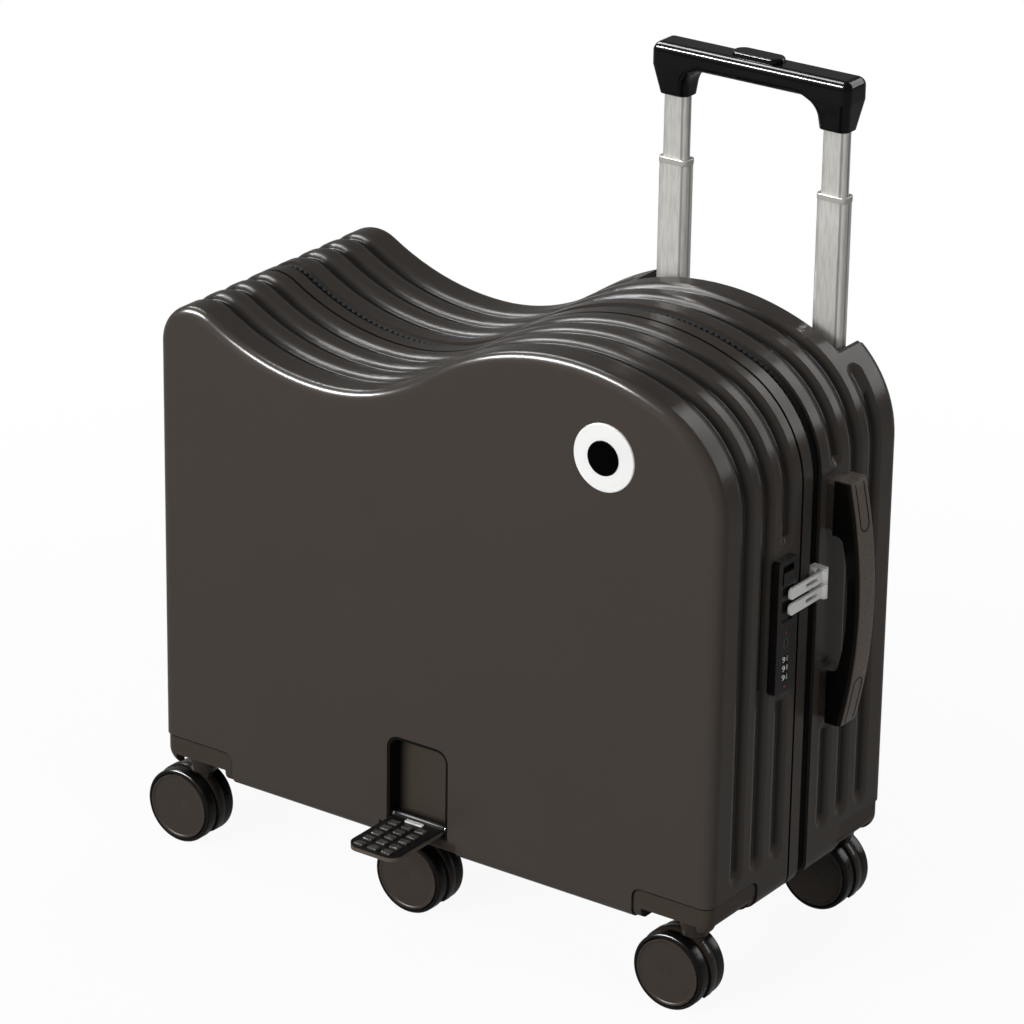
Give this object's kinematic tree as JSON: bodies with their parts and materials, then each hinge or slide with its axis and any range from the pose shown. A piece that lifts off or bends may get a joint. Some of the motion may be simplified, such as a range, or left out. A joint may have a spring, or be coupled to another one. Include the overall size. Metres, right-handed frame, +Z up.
{
  "type": "ride on suitcase",
  "caption": "Hard ribbed carry-on case with a saddle-shaped top to ride on, swivel casters, fold-down footrests, lock, carry handle and telescopic pull handle.",
  "frame": {"origin": "on the floor under the middle of the case's plan", "axes": "+X to the head end with the lock and carry handle, -Y out of the panel with the eye, +Z up"},
  "size_m": [0.5275, 0.337, 0.6269],
  "materials": {
    "shell": "satin charcoal",
    "tape": "woven black",
    "housing": "fine-grained black",
    "lock_body": "satin black",
    "dial": "knurled black",
    "key_metal": "brushed",
    "zip_metal": "satin plated",
    "handle": "satin black",
    "eye_white": "gloss white",
    "eye_black": "gloss black",
    "footrest": "satin charcoal",
    "footrest_pad": "matt",
    "steel_pin": "ground",
    "grip": "gloss black",
    "yoke": "plain",
    "tube": "satin anodised",
    "fork": "gloss black",
    "tyre": "smooth black",
    "hub": "satin charcoal"
  },
  "bodies": {
    "back_case": {"back_shell": "shell", "back_zip_tape": "tape", "hinge_tape": "tape", "back_corner_guards": "housing", "back_centre_mount": "housing", "carry_handle_mounts": "handle", "back_footrest_well": "housing", "back_footrest_pin": "steel_pin", "outer_tubes": "tube", "trolley_foot": "housing", "trolley_well": "housing"},
    "front_case": {"front_shell": "shell", "front_zip_tape": "tape", "front_corner_guards": "housing", "front_centre_mount": "housing", "lock_case": "lock_body", "eye_disc": "eye_white", "eye_pupil": "eye_black", "front_footrest_well": "housing", "front_footrest_pin": "steel_pin"},
    "middle_stage": {"middle_tubes": "tube", "tube_collars": "tube"},
    "inner_stage": {"inner_tubes": "tube", "trolley_grip": "grip"},
    "release": {"trolley_button": "grip", "release_yoke": "yoke"},
    "carry_handle": {"carry_handle": "handle"},
    "front_footrest": {"front_footrest": "footrest", "front_footrest_pads": "footrest_pad"},
    "back_footrest": {"back_footrest": "footrest", "back_footrest_pads": "footrest_pad"},
    "dial_upper": {"lock_dial_upper": "dial"},
    "dial_middle": {"lock_dial_middle": "dial"},
    "dial_lower": {"lock_dial_lower": "dial"},
    "lock_button": {"lock_button": "lock_body"},
    "key_cylinder": {"key_cylinder": "key_metal"},
    "upper_slider": {"upper_zip_slider": "zip_metal"},
    "upper_pull": {"upper_zip_pull": "zip_metal"},
    "lower_slider": {"lower_zip_slider": "zip_metal"},
    "lower_pull": {"lower_zip_pull": "zip_metal"},
    "front_tail_swivel": {"front_tail_caster_fork": "fork"},
    "front_tail_wheels": {"front_tail_caster_tyres": "tyre", "front_tail_caster_hubs": "hub"},
    "front_centre_swivel": {"front_centre_caster_fork": "fork"},
    "front_centre_wheels": {"front_centre_caster_tyres": "tyre", "front_centre_caster_hubs": "hub"},
    "front_head_swivel": {"front_head_caster_fork": "fork"},
    "front_head_wheels": {"front_head_caster_tyres": "tyre", "front_head_caster_hubs": "hub"},
    "back_tail_swivel": {"back_tail_caster_fork": "fork"},
    "back_tail_wheels": {"back_tail_caster_tyres": "tyre", "back_tail_caster_hubs": "hub"},
    "back_centre_swivel": {"back_centre_caster_fork": "fork"},
    "back_centre_wheels": {"back_centre_caster_tyres": "tyre", "back_centre_caster_hubs": "hub"},
    "back_head_swivel": {"back_head_caster_fork": "fork"},
    "back_head_wheels": {"back_head_caster_tyres": "tyre", "back_head_caster_hubs": "hub"}
  },
  "joints": [
    {"name": "case_opening", "type": "hinge", "parent": "back_case", "child": "front_case", "pos_m": [-0.239, 0.00575, 0.24], "axis": [0, 0, -1], "range_deg": [0, 115]},
    {"name": "middle_stage_slide", "type": "slide", "parent": "back_case", "child": "middle_stage", "axis": [0, 0, 1], "range_m": [-0.141, 0.104]},
    {"name": "inner_stage_slide", "type": "slide", "parent": "middle_stage", "child": "inner_stage", "axis": [0, 0, 1], "range_m": [-0.046, 0.19]},
    {"name": "release_push", "type": "slide", "parent": "inner_stage", "child": "release", "axis": [0, 0, -1], "range_m": [0, 0.0025], "stiffness_N_per_m": 900, "springref_m": -0.0015},
    {"name": "carry_handle_pull", "type": "slide", "parent": "back_case", "child": "carry_handle", "axis": [1, 0, 0], "range_m": [0, 0.005], "stiffness_N_per_m": 600, "springref_m": -0.002},
    {"name": "front_footrest_fold", "type": "hinge", "parent": "front_case", "child": "front_footrest", "pos_m": [-0.0085, -0.108, 0.0805], "axis": [-1, 0, 0], "range_deg": [0, 90]},
    {"name": "back_footrest_fold", "type": "hinge", "parent": "back_case", "child": "back_footrest", "pos_m": [-0.0085, 0.108, 0.0805], "axis": [1, 0, 0], "range_deg": [0, 90]},
    {"name": "dial_lower_turn", "type": "hinge", "parent": "front_case", "child": "dial_lower", "pos_m": [0.2397, -0.037, 0.238], "axis": [0, 0, 1], "continuous": true},
    {"name": "dial_middle_turn", "type": "hinge", "parent": "front_case", "child": "dial_middle", "pos_m": [0.2397, -0.037, 0.2448], "axis": [0, 0, 1], "continuous": true},
    {"name": "dial_upper_turn", "type": "hinge", "parent": "front_case", "child": "dial_upper", "pos_m": [0.2397, -0.037, 0.2516], "axis": [0, 0, 1], "continuous": true},
    {"name": "lock_button_push", "type": "slide", "parent": "front_case", "child": "lock_button", "axis": [0, 0, 1], "range_m": [0, 0.0045], "stiffness_N_per_m": 300, "springref_m": -0.002},
    {"name": "key_turn", "type": "hinge", "parent": "front_case", "child": "key_cylinder", "pos_m": [0.2422, -0.037, 0.2635], "axis": [1, 0, 0], "range_deg": [0, 90]},
    {"name": "upper_slider_run", "type": "slide", "parent": "front_case", "child": "upper_slider", "axis": [0, 0, 1], "range_m": [0, 0.045]},
    {"name": "upper_pull_flip", "type": "hinge", "parent": "upper_slider", "child": "upper_pull", "pos_m": [0.2482, 0.00575, 0.3002], "axis": [0, 0, 1], "range_deg": [0, 95]},
    {"name": "lower_slider_run", "type": "slide", "parent": "front_case", "child": "lower_slider", "axis": [0, 0, 1], "range_m": [-0.15, 0]},
    {"name": "lower_pull_flip", "type": "hinge", "parent": "lower_slider", "child": "lower_pull", "pos_m": [0.2482, 0.00575, 0.2886], "axis": [0, 0, 1], "range_deg": [0, 95]},
    {"name": "front_tail_swivel_turn", "type": "hinge", "parent": "front_case", "child": "front_tail_swivel", "pos_m": [-0.217, -0.095, 0.075], "axis": [0, 0, 1], "continuous": true},
    {"name": "front_tail_wheel_roll", "type": "hinge", "parent": "front_tail_swivel", "child": "front_tail_wheels", "pos_m": [-0.229, -0.095, 0.0285], "axis": [0, 1, 0], "continuous": true},
    {"name": "front_centre_swivel_turn", "type": "hinge", "parent": "front_case", "child": "front_centre_swivel", "pos_m": [-0.0135, -0.0855, 0.075], "axis": [0, 0, 1], "continuous": true},
    {"name": "front_centre_wheel_roll", "type": "hinge", "parent": "front_centre_swivel", "child": "front_centre_wheels", "pos_m": [-0.0255, -0.0855, 0.0285], "axis": [0, 1, 0], "continuous": true},
    {"name": "front_head_swivel_turn", "type": "hinge", "parent": "front_case", "child": "front_head_swivel", "pos_m": [0.217, -0.095, 0.075], "axis": [0, 0, 1], "continuous": true},
    {"name": "front_head_wheel_roll", "type": "hinge", "parent": "front_head_swivel", "child": "front_head_wheels", "pos_m": [0.205, -0.095, 0.0285], "axis": [0, 1, 0], "continuous": true},
    {"name": "back_tail_swivel_turn", "type": "hinge", "parent": "back_case", "child": "back_tail_swivel", "pos_m": [-0.217, 0.095, 0.075], "axis": [0, 0, 1], "continuous": true},
    {"name": "back_tail_wheel_roll", "type": "hinge", "parent": "back_tail_swivel", "child": "back_tail_wheels", "pos_m": [-0.229, 0.095, 0.0285], "axis": [0, 1, 0], "continuous": true},
    {"name": "back_centre_swivel_turn", "type": "hinge", "parent": "back_case", "child": "back_centre_swivel", "pos_m": [-0.0135, 0.0855, 0.075], "axis": [0, 0, 1], "continuous": true},
    {"name": "back_centre_wheel_roll", "type": "hinge", "parent": "back_centre_swivel", "child": "back_centre_wheels", "pos_m": [-0.0255, 0.0855, 0.0285], "axis": [0, 1, 0], "continuous": true},
    {"name": "back_head_swivel_turn", "type": "hinge", "parent": "back_case", "child": "back_head_swivel", "pos_m": [0.217, 0.095, 0.075], "axis": [0, 0, 1], "continuous": true},
    {"name": "back_head_wheel_roll", "type": "hinge", "parent": "back_head_swivel", "child": "back_head_wheels", "pos_m": [0.205, 0.095, 0.0285], "axis": [0, 1, 0], "continuous": true}
  ]
}
